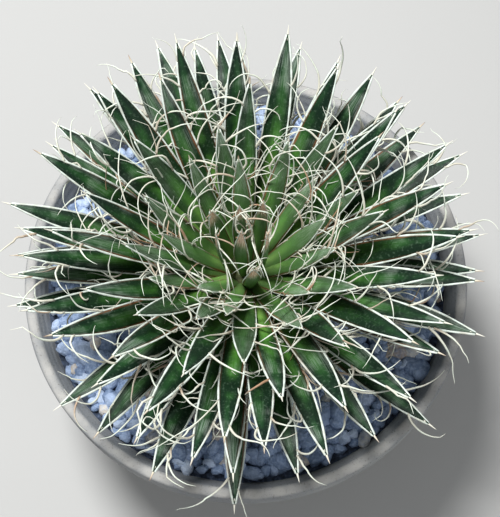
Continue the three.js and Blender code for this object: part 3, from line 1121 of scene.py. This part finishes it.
def pot_finish():
    clay = Finish("grey_stoneware", roughness=0.72)
    place = clay.node("TexCoord", "Object")
    fine, broad = clay.noise(scale=700.0, detail=4), clay.noise(scale=14.0, detail=4)
    height = clay.node("SeparateXYZ", 2, Vector=place)
    body = clay.mix(clay.between(broad, 0.35, 0.7), tint(126, 129, 132), tint(152, 154, 154))
    iron_specks = clay.times(clay.between(fine, 0.6, 0.66), 0.7)
    body = clay.mix(iron_specks, body, tint(80, 76, 74))
    worn = clay.plus(height, clay.times(clay.noise(scale=60.0, detail=4), 0.006))
    worn = clay.between(worn, POT_HEIGHT + 0.0015, POT_HEIGHT + 0.0035)
    body = clay.mix(clay.times(worn, 0.5), body, tint(188, 184, 176))
    low = clay.between(clay.plus(height, clay.times(broad, 0.03)), 0.045, 0.01)
    body = clay.mix(clay.times(low, 0.35), body, tint(176, 172, 162))
    clay.colour(body)
    rings = clay.node("TexWave", "Fac", {"bands_direction": "Z"}, Vector=place, Scale=38.0,
                      Distortion=1.2, Detail=2.0)
    clay.bump(clay.plus(clay.times(rings, 0.5), clay.times(fine, 0.6)), depth=0.0007, strength=0.6)
    return clay.material


print("the pot is", round(2 * RIM_RADIUS, 3), "m across its rim and", round(POT_HEIGHT, 3), "m high")

# %% [markdown]
# Each corner of the profile becomes a short arc, as a wet sponge leaves it.
# The drain holes could be left dark spots, but the floor is seen through them from
# below, so three drills really cut them.

# %% The pot
WALL = 0.009
FLOOR = 0.012
BASE_RADIUS = 0.134
BAND_FOOT = POT_HEIGHT - 0.030
BAND_OUT = 0.006
BAND_SLOPE = 0.002
ROUNDING = 0.0035
MOST_OF_A_SIDE = 0.45
POT_TINY_CIRCLE = 0.0005
DRAIN_HOLES = 3
HOLE_RADIUS = 0.008
HOLE_FROM_AXIS = 0.065
DRILL_LENGTH = 0.05


def rounded(corners, radius, steps=5):
    """Replaces each inner corner of an open profile by a short arc."""
    points = [np.array(c, float) for c in corners]
    path = [points[0]]
    for before, corner, after in zip(points, points[1:], points[2:]):
        sides = [np.linalg.norm(before - corner), np.linalg.norm(after - corner)]
        reach = min(radius, *(MOST_OF_A_SIDE * side for side in sides))
        start = corner + unit(before - corner) * reach
        end = corner + unit(after - corner) * reach
        for s in np.linspace(0, 1, steps):
            path.append((1 - s) ** 2 * start + 2 * s * (1 - s) * corner + s**2 * end)
    path.append(points[-1])
    return path


def drill_through(pot, angle):
    """One drain hole, cut with a cylinder that is then thrown away."""
    place = (HOLE_FROM_AXIS * math.cos(angle), HOLE_FROM_AXIS * math.sin(angle), 0)
    bpy.ops.mesh.primitive_cylinder_add(
        vertices=40, radius=HOLE_RADIUS, depth=DRILL_LENGTH, location=place
    )
    drill = bpy.context.object
    cut = pot.modifiers.new("drain_hole", "BOOLEAN")
    cut.operation, cut.object = "DIFFERENCE", drill
    bpy.context.view_layer.objects.active = pot
    bpy.ops.object.modifier_apply(modifier=cut.name)
    bpy.data.objects.remove(drill)


outside = [
    (POT_TINY_CIRCLE, 0),
    (BASE_RADIUS, 0),
    (RIM_RADIUS - BAND_OUT, BAND_FOOT),
    (RIM_RADIUS, BAND_FOOT + BAND_SLOPE),
    (RIM_RADIUS, POT_HEIGHT),
]
inside = [(RIM_RADIUS - WALL, POT_HEIGHT), (BASE_RADIUS - WALL, FLOOR), (POT_TINY_CIRCLE, FLOOR)]
pot_profile = rounded(outside + inside, ROUNDING)
pot = turned_body("stoneware_pot", pot_profile, sides=144, material=pot_finish())
for hole in range(DRAIN_HOLES):
    drill_through(pot, hole / DRAIN_HOLES * 2 * math.pi)
seat(pot, "pot", "pot")

# %% [markdown]
# The floor is plain and pale, so that nothing competes with the plant.
# An endless white one would glare, so it is a matte light grey sheet.

# %% The floor
FLOOR_HALF = 4

floor_finish = Finish("pale_floor", roughness=0.8)
floor_finish.colour(tint(178, 178, 176))
floor_corners = [(x * FLOOR_HALF, y * FLOOR_HALF, 0) for x, y in ((-1, -1), (1, -1), (1, 1), (-1, 1))]
floor_mesh = bpy.data.meshes.new("floor")
floor_mesh.from_pydata(floor_corners, [], [(0, 1, 2, 3)])
floor = placed("floor", floor_mesh, floor_finish.material)
print("the floor is", 2 * FLOOR_HALF, "m square")

# %% [markdown]
# Daylight from a bright sky shapes the leaves without hard shadows. A single sun would
# burn the white threads out, so a round panel high behind the plant is the key light,
# a weaker one stands in front, and an even sky keeps the gaps from going black.

# %% The light
LIT_PLACE = np.array([0, 0, 0.2])
KEY_PLACE, KEY_SIZE, KEY_WATTS = (-0.5, 0.55, 1.95), 0.6, 60
FRONT_PLACE, FRONT_SIZE, FRONT_WATTS = (1.1, -1.4, 1.3), 1.4, 9
SKY_COLOUR, SKY_STRENGTH = (0.93, 0.96, 1.0, 1), 0.29


def panel(name, place, size, watts):
    """A round area light that faces the plant."""
    data = bpy.data.lights.new(name, "AREA")
    data.shape, data.size, data.energy = "DISK", size, watts
    lamp = bpy.data.objects.new(name, data)
    lamp.location = place
    x, y, z = np.array(place) - LIT_PLACE
    lamp.rotation_euler = (math.atan2(math.hypot(x, y), z), 0, math.atan2(y, x) + math.pi / 2)
    bpy.context.scene.collection.objects.link(lamp)


panel("key_panel", KEY_PLACE, KEY_SIZE, KEY_WATTS)
panel("front_panel", FRONT_PLACE, FRONT_SIZE, FRONT_WATTS)
world = bpy.data.worlds.new("studio")
world.use_nodes = True
sky = world.node_tree.nodes["Background"]
sky.inputs["Color"].default_value = SKY_COLOUR
sky.inputs["Strength"].default_value = SKY_STRENGTH
bpy.context.scene.world = world
bpy.context.scene.view_settings.view_transform = "Standard"
print("lights of", KEY_WATTS, "and", FRONT_WATTS, "W, and a sky of", SKY_STRENGTH)
